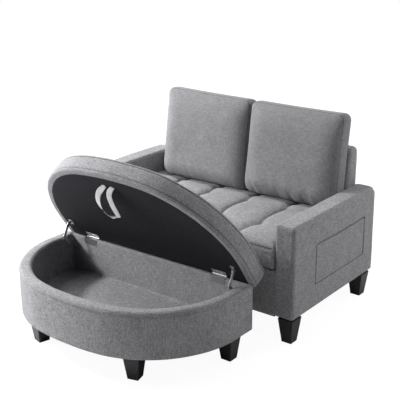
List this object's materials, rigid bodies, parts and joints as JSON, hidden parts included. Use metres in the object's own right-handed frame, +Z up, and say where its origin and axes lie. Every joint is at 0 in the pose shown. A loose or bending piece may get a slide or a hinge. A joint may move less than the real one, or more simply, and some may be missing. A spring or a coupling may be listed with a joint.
{
  "type": "sofa with chaise",
  "caption": "Small two-seat sofa with tufted seat, loose back cushions, square arms with side pockets, and a half-moon storage ottoman with a hinged lid on folding stays.",
  "frame": {"origin": "on the floor, midway along the length and the width of sofa and ottoman together", "axes": "+Z up, +Y from the ottoman to the back of the sofa, +X to the right of a person who faces the sofa"},
  "size_m": [1.42, 1.551, 0.9634],
  "materials": {
    "fabric": "medium grey heathered linen-look upholstery weave",
    "panel_cloth": "near-black non-woven bottoming cloth",
    "lining_cloth": "the same grey heathered weave, stretched over thin wadding",
    "webbing": "grey woven webbing",
    "foam": "open-cell upholstery foam",
    "frame_wood": "plain sawn softwood and plywood, not finished",
    "leg_wood": "black stained hardwood, satin",
    "steel": "zinc plated steel"
  },
  "bodies": {
    "sofa": {"front_rail_board": "frame_wood", "rear_rail_board": "frame_wood", "side_rail_boards": "frame_wood", "centre_beam": "frame_wood", "back_frame": "frame_wood", "left_arm_frame": "frame_wood", "right_arm_frame": "frame_wood", "front_rail_cover": "fabric", "backrest_cover": "fabric", "seat_cover": "fabric", "left_arm_cover": "fabric", "right_arm_cover": "fabric", "left_arm_pocket": "fabric", "right_arm_pocket": "fabric", "base_dust_cover": "panel_cloth", "long_straps": "webbing", "cross_straps": "webbing", "seat_foam": "foam", "front_left_leg": "leg_wood", "front_right_leg": "leg_wood", "rear_left_leg": "leg_wood", "rear_right_leg": "leg_wood", "leg_bolts": "steel", "arm_bolts": "steel", "back_studs": "steel"},
    "left_back_cushion": {"left_back_cushion_cover": "fabric", "left_back_cushion_fill": "foam"},
    "right_back_cushion": {"right_back_cushion_cover": "fabric", "right_back_cushion_fill": "foam"},
    "ottoman": {"ottoman_wall": "frame_wood", "ottoman_back_board": "frame_wood", "ottoman_floor": "frame_wood", "ottoman_corner_blocks": "frame_wood", "ottoman_cover": "fabric", "ottoman_rim": "fabric", "ottoman_dust_cover": "panel_cloth", "ottoman_lining": "lining_cloth", "ottoman_front_left_leg": "leg_wood", "ottoman_front_right_leg": "leg_wood", "ottoman_rear_left_leg": "leg_wood", "ottoman_rear_right_leg": "leg_wood", "ottoman_leg_bolts": "steel", "hinge_base_leaves": "steel", "hinge_pins": "steel", "hinge_base_screws": "steel", "stay_wall_brackets": "steel", "stay_wall_screws": "steel"},
    "lid": {"lid_board": "frame_wood", "lid_foam": "foam", "lid_cover": "fabric", "lid_panel": "panel_cloth", "lid_pull_loop": "webbing", "hinge_lid_leaves": "steel", "hinge_lid_screws": "steel", "stay_lid_brackets": "steel", "stay_lid_screws": "steel"},
    "left_stay_arm": {"left_stay_arm": "steel"},
    "right_stay_arm": {"right_stay_arm": "steel"},
    "left_stay_link": {"left_stay_link": "steel"},
    "right_stay_link": {"right_stay_link": "steel"}
  },
  "joints": [
    {"name": "left_back_cushion_lift", "type": "slide", "parent": "sofa", "child": "left_back_cushion", "axis": [0, 0.1392, 0.9903], "range_m": [0, 0.3]},
    {"name": "right_back_cushion_lift", "type": "slide", "parent": "sofa", "child": "right_back_cushion", "axis": [0, 0.1392, 0.9903], "range_m": [0, 0.3]},
    {"name": "ottoman_slide", "type": "slide", "parent": "sofa", "child": "ottoman", "axis": [0, -1, 0], "range_m": [0, 0.6]},
    {"name": "lid_hinge", "type": "hinge", "parent": "ottoman", "child": "lid", "pos_m": [0.016, -0.1685, 0.3445], "axis": [1, 0, 0], "range_deg": [0, 56]},
    {"name": "left_stay_arm_pivot", "type": "hinge", "parent": "ottoman", "child": "left_stay_arm", "pos_m": [-0.5045, -0.2074, 0.284], "axis": [1, 0, 0], "range_deg": [0, 59.01]},
    {"name": "left_stay_link_pivot", "type": "hinge", "parent": "lid", "child": "left_stay_link", "pos_m": [-0.5045, -0.2264, 0.409], "axis": [1, 0, 0], "range_deg": [-59.92, 0]},
    {"name": "right_stay_arm_pivot", "type": "hinge", "parent": "ottoman", "child": "right_stay_arm", "pos_m": [0.5365, -0.2074, 0.284], "axis": [1, 0, 0], "range_deg": [0, 59.01]},
    {"name": "right_stay_link_pivot", "type": "hinge", "parent": "lid", "child": "right_stay_link", "pos_m": [0.5365, -0.2264, 0.409], "axis": [1, 0, 0], "range_deg": [-59.92, 0]}
  ],
  "couplings": [
    {"joint": "left_stay_arm_pivot", "follows": "lid_hinge", "ratio": 1.0535},
    {"joint": "left_stay_link_pivot", "follows": "lid_hinge", "ratio": -1.0699},
    {"joint": "right_stay_arm_pivot", "follows": "lid_hinge", "ratio": 1.0535},
    {"joint": "right_stay_link_pivot", "follows": "lid_hinge", "ratio": -1.0699}
  ]
}
